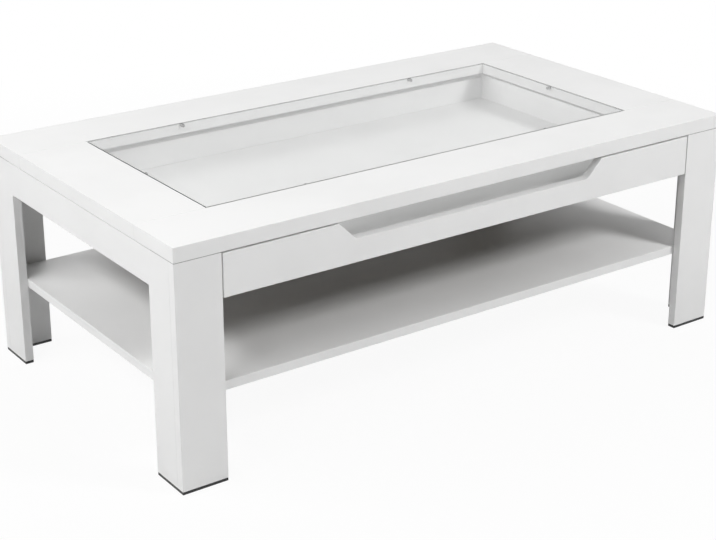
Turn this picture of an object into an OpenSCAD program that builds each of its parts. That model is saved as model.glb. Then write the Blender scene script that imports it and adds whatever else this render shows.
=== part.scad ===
// Display coffee table: a glass pane set in a four-board top, a pull-out display drawer under it,
// a shelf below, and legs of boards joined in an L. Millimetres, +Z up, the drawer's front towards -Y.
// The origin lies on the floor under the middle of the top.

/* [Table] */
// Length of the top, from left to right
table_length = 1150; // [1000:10:1300]
// Width of the top, from front to back
table_width = 650; // [600:10:720]
// Height of the top above the floor
table_height = 410; // [395:5:480]
// Thickness of the boards of the legs, the shelf and the drawer
board_t = 16; // [15:1:19]

/* [Top] */
// Thickness of the four boards round the glass
top_t = 25; // [22:1:30]
// Width of the front and back boards
rim_w = 120; // [105:1:140]
// Width of the left and right boards
rim_end_w = 127; // [115:1:145]

/* [Glass] */
// Thickness of the pane
glass_t = 5; // [4:1:6]
// Gap round the pane
glass_gap = 1.5; // [1:0.5:2]
// Diameter of the pins that carry the pane
pin_d = 6; // [5:0.5:7]
// How far a pin stands out of its board
pin_reach = 8; // [6:1:12]
// How deep a pin sits in its board
pin_depth = 12; // [10:1:20]
// Distance of the front and back pins from the ends of the opening
pin_inset = 190; // [120:10:260]

/* [Legs] */
// Width of a leg, seen from the front
leg_w = 82; // [74:1:100]
// Depth of a leg, seen from the side
leg_d = 80; // [74:1:100]
// Height of a side panel above its cut-out
apron_h = 60; // [50:1:80]
// Shadow gap between a side panel's middle and the top
relief = 1; // [0.5:0.5:2]
// Thickness of the glides under the legs
glide_t = 5; // [2:0.5:6]

/* [Shelf] */
// Height of the shelf's upper face above the floor
shelf_height = 164; // [120:1:220]

/* [Drawer] */
// Height of the drawer's front
front_h = 72; // [68:1:90]
// Gap between the drawer's front and the top
front_top_gap = 2.5; // [2:0.5:4]
// Gap between the drawer's front and the legs
front_side_gap = 2; // [2:0.5:4]
// Height of the drawer's sides
box_h = 60; // [56:1:64]
// How far the drawer's back stays below its sides
back_drop = 5; // [0:0.5:6]
// Depth of the drawer behind its front
box_depth = 550; // [500:10:550]
// Rise of the drawer's sides above the lower edge of its front
box_rise = 4.5; // [3:0.5:6]
// Thickness of the drawer's bottom
bottom_t = 3; // [3:0.5:4]
// Rise of the bottom above the lower edge of the drawer's sides
bottom_rise = 7; // [6:0.5:7.5]
// Depth of the groove that holds the bottom
groove_depth = 6; // [4:0.5:7]
// Width of the finger notch along the upper edge of the front
notch_w = 558; // [300:2:640]
// Depth of the finger notch
notch_depth = 31.5; // [24:0.5:36]
// Radius of the notch's lower corners
notch_r = 15; // [6:1:20]

/* [Runners] */
// Room for a runner on each side of the drawer
runner_gap = 13; // [12.5:0.5:15]
// How far the drawer opens
travel = 400; // [300:10:420]
// Thickness of the runners' steel
sheet_t = 1.2; // [1:0.1:1.3]
// Rise of a cabinet runner above the lower edge of the drawer's sides
runner_rise = 4; // [3:0.5:6]
// Diameter of the rollers
roller_d = 22; // [18:0.5:24]
// Width of the rollers
roller_w = 6; // [5:0.5:6]
// Diameter of the rollers' axles
axle_d = 6; // [4:0.5:7]

/* [Fittings] */
// Diameter of the dowels
dowel_d = 8; // [6:0.5:8]
// Length of the dowels
dowel_l = 30; // [26:1:36]
// Depth of a dowel in the face or edge that it enters first
dowel_bite = 12; // [9:0.5:12]
// Diameter of the cams
cam_d = 15; // [12:0.5:16]
// How far a cam reaches past the middle of its board
cam_over = 4; // [4:0.5:5]
// Distance of a cam's middle from its joint
cam_reach = 24; // [20:1:30]
// Diameter of the cam bolts
bolt_d = 5; // [4:0.5:5.5]
// Depth of a cam bolt's thread in its board
bolt_bite = 11; // [8:0.5:12]
// Diameter of the small screws
screw_d = 3.5; // [3:0.5:4]
// Leg of a steel bracket under the top
bracket_leg = 20; // [18:1:26]
// Width of a bracket
bracket_w = 18; // [14:1:24]
// Thickness of a bracket
bracket_t = 2; // [1.5:0.5:3]

/* [Hidden] */
$fn = 32;

// Clearances
fit = 0.1;          // round a dowel, bolt, cam or peg in its hole
end_gap = 0.5;      // past the end of a dowel or bolt in its hole
axle_fit = 0.08;    // round an axle in its roller
run_gap = 0.3;      // between a roller and the steel above or below it
side_play = 0.2;    // beside a roller on its axle
slide_gap = 0.5;    // between sliding steel and what it passes
stop_gap = 0.5;     // between a roller and its stop
groove_gap = 0.2;   // round the drawer's bottom in its groove
cut = 1;            // how far a cutting shape runs past a face

// The frame's planes, from the middle outwards
half_l = table_length / 2;
half_w = table_width / 2;
carcass_h = table_height - top_t;
open_x = half_l - rim_end_w;
open_y = half_w - rim_w;
rim_mid_x = (open_x + half_l) / 2;
panel_x = half_l - board_t;
panel_mid_x = half_l - board_t / 2;
leg_x = half_l - leg_w;
leg_y = half_w - leg_d;
board_y = half_w - board_t;
board_mid_y = half_w - board_t / 2;

// The glass
glass_z = table_height - glass_t;
pin_flat = 0.4;
pin_z = glass_z - pin_d / 2 + pin_flat;
pin_x = open_x - pin_inset;

// The side panels
peg_d = 5;
peg_h = 8;
glide_inset = 0.4;
relief_y = leg_y + 8;

// The shelf
shelf_z = shelf_height - board_t;
shelf_mid_z = shelf_height - board_t / 2;
shelf_cam_inset = 33;
shelf_cam_x = panel_x - shelf_cam_inset;
shelf_dowel_y = (leg_y + board_y) / 2;

// The dowels of the legs and the top
leg_dowel_low = 60;
leg_dowel_over_shelf = 70;
leg_dowel_drop = 30;
panel_dowel_inset = 34;
leg_top_dowel_gap = 11;
rim_dowel_spread = 40;

// The drawer's front and the boards level with it
front_z = carcass_h - front_top_gap - front_h;
front_half = leg_x - front_side_gap;
rail_h = carcass_h - front_z;
rail_mid_x = leg_x + board_t / 2;
rail_out_x = leg_x + board_t;
rail_mid_z = front_z + rail_h / 2;
rail_dowel_rise = 22;
apron_joint_rise = 11;
apron_bolt_z = rail_mid_z - apron_joint_rise;
apron_dowel_z = rail_mid_z + apron_joint_rise;
apron_top_x = 200;
apron_bracket_x = 250;
bracket_end = 44;
bracket_y = board_y - bracket_end;

// The drawer's box
box_y0 = -board_y;
box_y1 = box_y0 + box_depth;
box_z = front_z + box_rise;
box_x = leg_x - runner_gap;
box_in_x = box_x - board_t;
box_mid_x = box_x - board_t / 2;
box_mid_z = box_z + box_h / 2;
box_dowel_rise = 13;
bottom_z = box_z + bottom_rise;
floor_z = bottom_z + bottom_t;
back_y = box_y1 - board_t;
back_mid_y = box_y1 - board_t / 2;
back_top = box_z + box_h - back_drop;
back_screw_drops = [9, 25];
back_screw_l = 50;
bottom_screw_x = 300;

// The runners: places across the gap, and heights
track_x = leg_x - runner_gap / 2;
track_z = box_z + runner_rise;
roller_z = track_z + sheet_t + run_gap + roller_d / 2;
lip_z = roller_z + roller_d / 2 + run_gap;
track_top_z = lip_z + sheet_t + run_gap;
runner_start = 2;
flange_w = board_t - 4;
track_y0 = box_y0 + 2 * runner_start;
front_roller_y = track_y0 + roller_d / 2 + 2;
rear_roller_y = box_y1 - roller_d / 2 - 3;
track_y1 = rear_roller_y + roller_d / 2 + stop_gap + sheet_t;
stop_h = 3;
stop_w = 4;
stop_reach = sqrt(pow(roller_d / 2, 2) - pow(roller_d / 2 + run_gap - stop_h, 2)) + 3 * stop_gap;
stop_y = rear_roller_y - travel - stop_reach;
head_t = 0.6;
shoulder_d = axle_d + 4;
head_d = axle_d + 2.4;
roller_rim = 1.5;
roller_dish = 0.6;
runner_screw_head = [6, 1.2];
runner_screw_l = 11;
cabinet_screw_ys = [track_y0 + 35, -20, track_y1 - 40];
drawer_screw_ys = [box_y0 + 50, -30, box_y1 - 40];
cabinet_screw_z = roller_z + (head_d + runner_screw_head[0]) / 2 + slide_gap;
drawer_screw_z = lip_z - slide_gap - runner_screw_head[0] / 2;

// The cams
cam_t = cam_over + board_t / 2;
cam_bore = bolt_d + 1.8;
cam_sunk = 0.2;
cam_slot = [cam_d * 0.6, 1.6, 2];
cam_bore_past = 2.5;
bolt_head = [cam_bore - 2 * run_gap, 3];

// The other screws: the head's diameter and height
small_head = [7, 2];
bracket_screw_l = 14;
bracket_hole = 12;
bottom_screw_l = 14;
confirmat_head = [7, 3];
confirmat_d = 5;

white = [0.93, 0.93, 0.93];
steel = [0.72, 0.73, 0.75];
beech = [0.80, 0.66, 0.46];
zinc = [0.62, 0.62, 0.62];
nylon = [0.90, 0.90, 0.86];
black = [0.08, 0.08, 0.08];

// Where the fittings are. A dowel's spot holds a point on the joint and the way into the second board.
// A cam's spot also holds the way that the cam opens.
function leg_dowels(sx, sy) = [
    for (z = [leg_dowel_low, shelf_height + leg_dowel_over_shelf, carcass_h - leg_dowel_drop])
        [[sx * panel_mid_x, sy * board_y, z], [0, -sy, 0]]
];
function shelf_dowels(sx, sy) = [[[sx * panel_x, sy * shelf_dowel_y, shelf_mid_z], [-sx, 0, 0]]];
function rail_dowels(sx, sy) = [
    for (side = [-1, 1])
        [[sx * rail_mid_x, sy * board_y, rail_mid_z + side * rail_dowel_rise], [0, -sy, 0]]
];
function apron_dowels(sx) = [[[sx * leg_x, board_mid_y, apron_dowel_z], [-sx, 0, 0]]];
function panel_top_dowels(sx, sy) = [
    [[sx * panel_mid_x, sy * (board_y - panel_dowel_inset), carcass_h], [0, 0, -1]]
];
function leg_top_dowels(sx, sy) = [
    [[sx * (rail_out_x + leg_top_dowel_gap), sy * board_mid_y, carcass_h], [0, 0, -1]]
];
function apron_top_dowels() = [
    for (sx = [-1, 1])
        [[sx * apron_top_x, board_mid_y, carcass_h], [0, 0, -1]]
];
function rim_dowels(sx, sy) = [
    for (side = [-1, 1])
        [[sx * rim_mid_x + side * rim_dowel_spread, sy * open_y, carcass_h + top_t / 2], [0, -sy, 0]]
];
function shelf_cams(sx, sy) = [[[sx * shelf_cam_x, sy * board_y, shelf_mid_z], [0, -sy, 0], [0, 0, -1]]];
function rail_cams(sx, sy) = [[[sx * rail_mid_x, sy * board_y, rail_mid_z], [0, -sy, 0], [sx, 0, 0]]];
function apron_cams(sx) = [[[sx * leg_x, board_mid_y, apron_bolt_z], [-sx, 0, 0], [0, -1, 0]]];
function rim_cams(sx, sy) = [
    [[sx * rim_mid_x, sy * open_y, carcass_h + board_t / 2], [0, -sy, 0], [0, 0, -1]]
];
function frame_cam_spots(sx, sy) = concat(shelf_cams(sx, sy), rail_cams(sx, sy), rim_cams(sx, sy));
function front_dowels(sx) = [
    for (side = [-1, 1])
        [[sx * box_mid_x, box_y0, box_mid_z + side * box_dowel_rise], [0, 1, 0]]
];
function front_cams(sx) = [[[sx * box_mid_x, box_y0, box_mid_z], [0, 1, 0], [-sx, 0, 0]]];
function glass_pin_spots(sx, sy) = [[[sx * pin_x, sy * open_y, pin_z], [0, -sy, 0]]];
function glass_end_pin(sx) = [[[sx * open_x, 0, pin_z], [-sx, 0, 0]]];

// A bracket's spot holds the corner line's middle and the turn about Z
function rail_brackets(sx) = [
    for (y = [-bracket_y, 0, bracket_y])
        [[sx * rail_out_x, y, carcass_h], sx > 0 ? 0 : 180]
];
function apron_brackets() = [for (sx = [-1, 1]) [[sx * apron_bracket_x, board_y, carcass_h], -90]];

// A runner screw's spot holds the point under its head and the way that it points
function cabinet_screws(sx) = [
    for (y = cabinet_screw_ys)
        [[sx * (leg_x - sheet_t), y, cabinet_screw_z], [sx, 0, 0]]
];
function drawer_screws(sx) = [
    for (y = drawer_screw_ys)
        [[sx * (box_x + sheet_t), y, drawer_screw_z], [-sx, 0, 0]]
];
function back_screws(sx) = [
    for (drop = back_screw_drops)
        [[sx * box_x, back_mid_y, back_top - drop], [-sx, 0, 0]]
];
function bottom_screws() = [
    for (side = [-1:1])
        [[side * bottom_screw_x, back_mid_y, bottom_z], [0, 0, 1]]
];

// Turns +Z to point along the unit vector v, which lies along an axis
module aim(v) {
    rotate([0, acos(v.z), atan2(v.y, v.x)]) children();
}

module mirrored(sx) {
    mirror([sx < 0 ? 1 : 0, 0, 0]) children();
}

// A box between two corners
module block(low, high) {
    translate(low) cube(high - low);
}

// Cuts for the fittings

module dowel_holes(spots) {
    for (s = spots)
        translate(s[0] - s[1] * (dowel_bite + end_gap))
            aim(s[1])
                cylinder(d = dowel_d + 2 * fit, h = dowel_l + 2 * end_gap);
}

module bolt_holes(spots) {
    for (s = spots)
        translate(s[0] - s[1] * (bolt_bite + end_gap))
            aim(s[1])
                cylinder(d = bolt_d + 2 * fit, h = bolt_bite + end_gap + cut);
}

module cam_pockets(spots) {
    for (s = spots) {
        translate(s[0] - s[1] * cut)
            aim(s[1])
                cylinder(d = cam_bore + 2 * fit, h = cam_reach + cut);
        translate(s[0] + s[1] * cam_reach - s[2] * (cam_over + end_gap))
            aim(s[2])
                cylinder(d = cam_d + 2 * fit, h = cam_t + end_gap + cut);
    }
}

module pin_holes(spots) {
    for (s = spots)
        translate(s[0] - s[1] * (pin_depth + end_gap))
            aim(s[1])
                cylinder(d = pin_d + 2 * fit, h = pin_depth + end_gap + cut);
}

module screw_holes(spots, d, length) {
    for (s = spots)
        translate(s[0] - s[1] * cut)
            aim(s[1])
                cylinder(d = d + 2 * fit, h = length + end_gap + cut);
}

module peg_holes(sx, sy) {
    for (p = [[sx * (leg_x + half_l) / 2, sy * board_mid_y], [sx * panel_mid_x, sy * (leg_y + board_y) / 2]])
        translate([p.x, p.y, glide_t - cut])
            cylinder(d = peg_d + 2 * fit, h = peg_h + end_gap + cut);
}

// The fittings

module dowels(spots) {
    for (s = spots)
        translate(s[0] - s[1] * dowel_bite)
            aim(s[1])
                cylinder(d = dowel_d, h = dowel_l);
}

module cam_bolts(spots) {
    for (s = spots)
        translate(s[0]) aim(s[1]) {
            translate([0, 0, -bolt_bite]) cylinder(d = bolt_d, h = bolt_bite + cam_reach - 1);
            translate([0, 0, cam_reach + 1 - bolt_head[1]]) cylinder(d = bolt_head[0], h = bolt_head[1]);
        }
}

module cams(spots) {
    for (s = spots)
        difference() {
            translate(s[0] + s[1] * cam_reach - s[2] * cam_over)
                aim(s[2])
                    difference() {
                        cylinder(d = cam_d, h = cam_t - cam_sunk);
                        for (turn = [0, 90])
                            rotate(turn)
                                translate([-cam_slot.x / 2, -cam_slot.y / 2, cam_t - cam_slot.z])
                                    cube(cam_slot + [0, 0, cut]);
                    }
            translate(s[0] + s[1] * (cam_reach - cam_d / 2 - cut))
                aim(s[1])
                    cylinder(d = cam_bore, h = cam_d / 2 + cam_bore_past + cut);
        }
}

// A screw whose point under the head is at the origin, with its shank along +Z
module screw(head, d, length) {
    difference() {
        union() {
            translate([0, 0, -head[1]]) cylinder(d = head[0], h = head[1]);
            translate([0, 0, -head[1] / 2]) cylinder(d = d, h = length + head[1] / 2);
        }
        for (turn = [0, 90])
            rotate(turn)
                translate([-head[0] * 0.3, -0.4, -head[1] - cut])
                    cube([head[0] * 0.6, 0.8, head[1] * 0.6 + cut]);
    }
}

module screws(spots, head, d, length) {
    for (s = spots)
        translate(s[0]) aim(s[1]) screw(head, d, length);
}

// Steel angle with one leg on a board's face, which looks along +X, and the other under the top
module bracket() {
    difference() {
        union() {
            block([0, -bracket_w / 2, -bracket_leg], [bracket_t, bracket_w / 2, 0]);
            block([0, -bracket_w / 2, -bracket_t], [bracket_leg, bracket_w / 2, 0]);
        }
        translate([-cut, 0, -bracket_hole])
            aim([1, 0, 0])
                cylinder(d = screw_d + 4 * fit, h = bracket_t + 2 * cut);
        translate([bracket_hole, 0, -bracket_t - cut])
            cylinder(d = screw_d + 4 * fit, h = bracket_t + 2 * cut);
    }
}

// The two screws of a bracket, or their holes
module bracket_screw_pair(spots, as_holes) {
    pair = [
        [[bracket_t, 0, -bracket_hole], [-1, 0, 0]],
        [[bracket_hole, 0, -bracket_t], [0, 0, 1]]
    ];
    for (s = spots)
        translate(s[0]) rotate(s[1])
            for (p = pair)
                if (as_holes)
                    translate(p[0]) aim(p[1]) cylinder(d = screw_d + 2 * fit, h = bracket_screw_l + end_gap);
                else
                    translate(p[0]) aim(p[1]) screw(small_head, screw_d, bracket_screw_l);
}

// The top

module top_long_board(sy) {
    y0 = sy > 0 ? open_y : -half_w;
    color(white)
        difference() {
            block([-half_l, y0, carcass_h], [half_l, y0 + rim_w, table_height]);
            for (sx = [-1, 1]) {
                dowel_holes(concat(panel_top_dowels(sx, sy), leg_top_dowels(sx, sy), rim_dowels(sx, sy)));
                bolt_holes(rim_cams(sx, sy));
                pin_holes(glass_pin_spots(sx, sy));
                bracket_screw_pair(rail_brackets(sx), true);
            }
            if (sy > 0) {
                dowel_holes(apron_top_dowels());
                bracket_screw_pair(apron_brackets(), true);
            }
        }
}

module top_end_board(sx) {
    x0 = sx > 0 ? open_x : -half_l;
    color(white)
        difference() {
            block([x0, -open_y, carcass_h], [x0 + rim_end_w, open_y, table_height]);
            for (sy = [-1, 1]) {
                dowel_holes(rim_dowels(sx, sy));
                cam_pockets(rim_cams(sx, sy));
            }
            pin_holes(glass_end_pin(sx));
            bracket_screw_pair(rail_brackets(sx), true);
        }
}

module top_front_board() {
    top_long_board(-1);
}

module top_back_board() {
    top_long_board(1);
}

module top_left_board() {
    top_end_board(-1);
}

module top_right_board() {
    top_end_board(1);
}

module glass_pane() {
    x = open_x - glass_gap;
    y = open_y - glass_gap;
    color([0.80, 0.92, 0.88, 0.4])
        block([-x, -y, glass_z], [x, y, table_height]);
}

// Pins with a flat for the pane to lie on
module glass_pins() {
    color(steel)
        difference() {
            for (sx = [-1, 1]) {
                for (s = concat(glass_pin_spots(sx, -1), glass_pin_spots(sx, 1), glass_end_pin(sx)))
                    translate(s[0] - s[1] * pin_depth)
                        aim(s[1])
                            cylinder(d = pin_d, h = pin_depth + pin_reach);
            }
            block([-open_x, -open_y, glass_z], [open_x, open_y, table_height]);
        }
}

// The sides, legs and shelf

// A side panel in one piece, cut out below its middle so that its ends are halves of legs
module side_panel(sx) {
    color(white)
        difference() {
            mirrored(sx)
                difference() {
                    block([panel_x, -board_y, glide_t], [half_l, board_y, carcass_h]);
                    block([panel_x - cut, -leg_y, glide_t - cut], [half_l + cut, leg_y, carcass_h - apron_h]);
                    block(
                        [panel_x - cut, -relief_y, carcass_h - relief],
                        [half_l + cut, relief_y, carcass_h + cut]
                    );
                }
            for (sy = [-1, 1]) {
                dowel_holes(concat(leg_dowels(sx, sy), shelf_dowels(sx, sy), panel_top_dowels(sx, sy)));
                peg_holes(sx, sy);
            }
        }
}

module side_panel_left() {
    side_panel(-1);
}

module side_panel_right() {
    side_panel(1);
}

module leg_board(sx, sy) {
    y0 = sy > 0 ? board_y : -half_w;
    color(white)
        difference() {
            mirrored(sx)
                block([leg_x, y0, glide_t], [half_l, y0 + board_t, carcass_h]);
            dowel_holes(concat(leg_dowels(sx, sy), rail_dowels(sx, sy), leg_top_dowels(sx, sy)));
            bolt_holes(concat(shelf_cams(sx, sy), rail_cams(sx, sy)));
            peg_holes(sx, sy);
            if (sy > 0) {
                dowel_holes(apron_dowels(sx));
                bolt_holes(apron_cams(sx));
            }
        }
}

module leg_board_front_left() {
    leg_board(-1, -1);
}

module leg_board_front_right() {
    leg_board(1, -1);
}

module leg_board_back_left() {
    leg_board(-1, 1);
}

module leg_board_back_right() {
    leg_board(1, 1);
}

module back_apron() {
    color(white)
        difference() {
            block([-leg_x, board_y, front_z], [leg_x, half_w, carcass_h]);
            for (sx = [-1, 1]) {
                dowel_holes(apron_dowels(sx));
                cam_pockets(apron_cams(sx));
            }
            dowel_holes(apron_top_dowels());
            bracket_screw_pair(apron_brackets(), true);
        }
}

module shelf() {
    color(white)
        difference() {
            block([-panel_x, -board_y, shelf_z], [panel_x, board_y, shelf_height]);
            for (sx = [-1, 1], sy = [-1, 1]) {
                dowel_holes(shelf_dowels(sx, sy));
                cam_pockets(shelf_cams(sx, sy));
            }
        }
}

// The board inside each side panel that carries a cabinet runner
module runner_board(sx) {
    color(white)
        difference() {
            mirrored(sx) block([leg_x, -board_y, front_z], [rail_out_x, board_y, carcass_h]);
            for (sy = [-1, 1]) {
                dowel_holes(rail_dowels(sx, sy));
                cam_pockets(rail_cams(sx, sy));
            }
            bracket_screw_pair(rail_brackets(sx), true);
            screw_holes(cabinet_screws(sx), screw_d, runner_screw_l);
        }
}

module runner_board_left() {
    runner_board(-1);
}

module runner_board_right() {
    runner_board(1);
}

// An L of plastic under each leg, with two pegs
module leg_glides() {
    x1 = half_l - glide_inset;
    y1 = half_w - glide_inset;
    color(black)
        for (sx = [-1, 1], sy = [-1, 1])
            mirror([sx < 0 ? 1 : 0, 0, 0]) mirror([0, sy < 0 ? 1 : 0, 0]) {
                block([leg_x + glide_inset, board_y + glide_inset, 0], [x1, y1, glide_t]);
                block([panel_x + glide_inset, leg_y + glide_inset, 0], [x1, y1, glide_t]);
                for (p = [[(leg_x + half_l) / 2, board_mid_y], [panel_mid_x, (leg_y + board_y) / 2]])
                    translate([p.x, p.y, glide_t / 2]) cylinder(d = peg_d, h = glide_t / 2 + peg_h);
            }
}

module top_brackets() {
    color(steel)
        for (s = concat(rail_brackets(-1), rail_brackets(1), apron_brackets()))
            translate(s[0]) rotate(s[1]) bracket();
}

module bracket_screws() {
    color(steel)
        bracket_screw_pair(concat(rail_brackets(-1), rail_brackets(1), apron_brackets()), false);
}

module frame_dowels() {
    color(beech) {
        for (sx = [-1, 1], sy = [-1, 1]) {
            dowels(concat(leg_dowels(sx, sy), shelf_dowels(sx, sy), rail_dowels(sx, sy)));
            dowels(concat(panel_top_dowels(sx, sy), leg_top_dowels(sx, sy), rim_dowels(sx, sy)));
        }
        for (sx = [-1, 1]) dowels(apron_dowels(sx));
        dowels(apron_top_dowels());
    }
}

module frame_cams() {
    color(zinc) {
        for (sx = [-1, 1], sy = [-1, 1]) cams(frame_cam_spots(sx, sy));
        for (sx = [-1, 1]) cams(apron_cams(sx));
    }
}

module frame_cam_bolts() {
    color(steel) {
        for (sx = [-1, 1], sy = [-1, 1]) cam_bolts(frame_cam_spots(sx, sy));
        for (sx = [-1, 1]) cam_bolts(apron_cams(sx));
    }
}

// The runners

// An axle standing on a web of steel at x = 0, and looking along +X, up to the head past its roller
module axle(roller_x) {
    aim([1, 0, 0]) {
        cylinder(d = shoulder_d, h = roller_x - side_play);
        cylinder(d = axle_d, h = roller_x + roller_w + side_play + head_t);
        translate([0, 0, roller_x + roller_w + side_play]) cylinder(d = head_d, h = head_t);
    }
}

// A channel that opens towards the drawer, with a roller's axle at its front and a stop at each end
module cabinet_runner(sx) {
    web_x = leg_x - sheet_t;
    roller_x = track_x - roller_w / 2;
    color(steel)
        difference() {
            mirrored(sx) {
                block([web_x, track_y0, track_z], [leg_x, track_y1, track_top_z + sheet_t]);
                block([roller_x - slide_gap, track_y0, track_z], [leg_x, track_y1, track_z + sheet_t]);
                block([track_x, track_y0, track_top_z], [leg_x, track_y1, track_top_z + sheet_t]);
                block([roller_x, track_y1 - sheet_t, track_z], [leg_x, track_y1, roller_z + stop_h]);
                block(
                    [roller_x, stop_y - stop_w, track_z],
                    [roller_x + roller_w, stop_y, track_z + sheet_t + stop_h]
                );
                translate([web_x, front_roller_y, roller_z])
                    mirror([1, 0, 0]) axle(web_x - roller_x - roller_w);
            }
            screw_holes(cabinet_screws(sx), screw_d, runner_screw_l);
        }
}

// An angle along the lower edge of a drawer side, with a lip that runs on the front roller
module drawer_runner(sx) {
    web_x = box_x + sheet_t;
    y0 = box_y0 + runner_start;
    color(steel)
        difference() {
            mirrored(sx) {
                block([box_x, y0, box_z - sheet_t], [web_x, box_y1, lip_z + sheet_t]);
                block([box_x - flange_w, y0, box_z - sheet_t], [web_x, box_y1, box_z]);
                block([box_x, y0, lip_z], [track_x + roller_w / 2, box_y1, lip_z + sheet_t]);
                translate([web_x, rear_roller_y, roller_z]) axle(track_x - roller_w / 2 - web_x);
            }
            screw_holes(drawer_screws(sx), screw_d, runner_screw_l);
        }
}

// A roller with a shallow dish in each face, between its rim and its hub
module roller(sx, y) {
    color(nylon)
        translate([sx * track_x, y, roller_z])
            aim([1, 0, 0])
                difference() {
                    cylinder(d = roller_d, h = roller_w, center = true, $fn = 64);
                    cylinder(d = axle_d + 2 * axle_fit, h = roller_w + 2 * cut, center = true);
                    for (side = [0, 1])
                        mirror([0, 0, side])
                            translate([0, 0, roller_w / 2 - roller_dish])
                                difference() {
                                    cylinder(d = roller_d - 2 * roller_rim, h = cut);
                                    cylinder(d = shoulder_d + 1, h = cut);
                                }
                }
}

module cabinet_runner_left() {
    cabinet_runner(-1);
}

module cabinet_runner_right() {
    cabinet_runner(1);
}

module drawer_runner_left() {
    drawer_runner(-1);
}

module drawer_runner_right() {
    drawer_runner(1);
}

module cabinet_roller_left() {
    roller(-1, front_roller_y);
}

module cabinet_roller_right() {
    roller(1, front_roller_y);
}

module drawer_roller_left() {
    roller(-1, rear_roller_y);
}

module drawer_roller_right() {
    roller(1, rear_roller_y);
}

module cabinet_runner_screws() {
    color(steel)
        for (sx = [-1, 1]) screws(cabinet_screws(sx), runner_screw_head, screw_d, runner_screw_l);
}

module drawer_runner_screws() {
    color(steel)
        for (sx = [-1, 1]) screws(drawer_screws(sx), runner_screw_head, screw_d, runner_screw_l);
}

// The drawer

// The notch's outline, with its deepest line at y = 0: ends at 45 degrees that turn into the bottom on an arc
module notch_outline() {
    steps = 8;
    low_x = notch_w / 2 - notch_depth;
    centre = [low_x - notch_r * tan(22.5), notch_r];
    right = concat(
        [for (i = [0:steps]) centre + notch_r * [sin(45 * i / steps), -cos(45 * i / steps)]],
        [[notch_w / 2 + cut, notch_depth + cut]]
    );
    count = len(right);
    polygon(concat(right, [for (i = [0:count - 1]) [-right[count - 1 - i].x, right[count - 1 - i].y]]));
}

module drawer_front() {
    color(white)
        difference() {
            block([-front_half, -half_w, front_z], [front_half, box_y0, front_z + front_h]);
            translate([0, -half_w - cut, front_z + front_h - notch_depth])
                rotate([90, 0, 0]) mirror([0, 0, 1])
                    linear_extrude(board_t + 2 * cut) notch_outline();
            block(
                [-box_in_x - groove_depth, box_y0 - groove_depth, bottom_z - groove_gap / 2],
                [box_in_x + groove_depth, box_y0 + cut, floor_z + groove_gap / 2]
            );
            for (sx = [-1, 1]) {
                dowel_holes(front_dowels(sx));
                bolt_holes(front_cams(sx));
            }
        }
}

module drawer_side(sx) {
    color(white)
        difference() {
            mirrored(sx)
                difference() {
                    block([box_in_x, box_y0, box_z], [box_x, box_y1, box_z + box_h]);
                    block(
                        [box_in_x - cut, box_y0 - cut, bottom_z - groove_gap / 2],
                        [box_in_x + groove_depth, box_y1 + cut, floor_z + groove_gap / 2]
                    );
                }
            dowel_holes(front_dowels(sx));
            cam_pockets(front_cams(sx));
            screw_holes(drawer_screws(sx), screw_d, runner_screw_l);
            for (s = back_screws(sx)) {
                screw_holes([s], confirmat_d, board_t + cut);
                screw_holes([s], confirmat_head[0], confirmat_head[1] - end_gap);
            }
        }
}

module drawer_side_left() {
    drawer_side(-1);
}

module drawer_side_right() {
    drawer_side(1);
}

module drawer_back() {
    color(white)
        difference() {
            block([-box_in_x, back_y, floor_z], [box_in_x, box_y1, back_top]);
            for (sx = [-1, 1])
                screw_holes(back_screws(sx), confirmat_d, confirmat_head[1] + back_screw_l);
            screw_holes(bottom_screws(), screw_d, bottom_screw_l);
        }
}

module drawer_bottom() {
    x = box_in_x + groove_depth - groove_gap;
    color(white)
        difference() {
            block([-x, box_y0 - groove_depth + groove_gap, bottom_z], [x, box_y1, floor_z]);
            screw_holes(bottom_screws(), screw_d + 2 * fit, bottom_screw_l);
        }
}

module drawer_dowels() {
    color(beech)
        for (sx = [-1, 1]) dowels(front_dowels(sx));
}

module drawer_cams() {
    color(zinc)
        for (sx = [-1, 1]) cams(front_cams(sx));
}

module drawer_cam_bolts() {
    color(steel)
        for (sx = [-1, 1]) cam_bolts(front_cams(sx));
}

// Long screws through the drawer's sides into its back, with their heads sunk
module drawer_back_screws() {
    color(steel)
        for (sx = [-1, 1], s = back_screws(sx))
            translate(s[0] + s[1] * confirmat_head[1])
                aim(s[1])
                    screw(confirmat_head, confirmat_d, back_screw_l);
}

module drawer_bottom_screws() {
    color(steel)
        screws(bottom_screws(), small_head, screw_d, bottom_screw_l);
}

top_front_board();
top_back_board();
top_left_board();
top_right_board();
glass_pane();
glass_pins();
side_panel_left();
side_panel_right();
leg_board_front_left();
leg_board_front_right();
leg_board_back_left();
leg_board_back_right();
back_apron();
shelf();
runner_board_left();
runner_board_right();
leg_glides();
top_brackets();
bracket_screws();
frame_dowels();
frame_cams();
frame_cam_bolts();
cabinet_runner_left();
cabinet_runner_right();
cabinet_runner_screws();
drawer_front();
drawer_side_left();
drawer_side_right();
drawer_back();
drawer_bottom();
drawer_runner_left();
drawer_runner_right();
drawer_runner_screws();
drawer_dowels();
drawer_cams();
drawer_cam_bolts();
drawer_back_screws();
drawer_bottom_screws();
cabinet_roller_left();
cabinet_roller_right();
drawer_roller_left();
drawer_roller_right();
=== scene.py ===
"""Looks of the display coffee table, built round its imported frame.

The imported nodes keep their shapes. This script rounds their arrises, dresses each one in a
procedural finish, adds the stage, the lamps and the camera, and leaves the rest to the frame.
"""

import logging
import math
from dataclasses import dataclass, field
from enum import Enum

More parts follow.
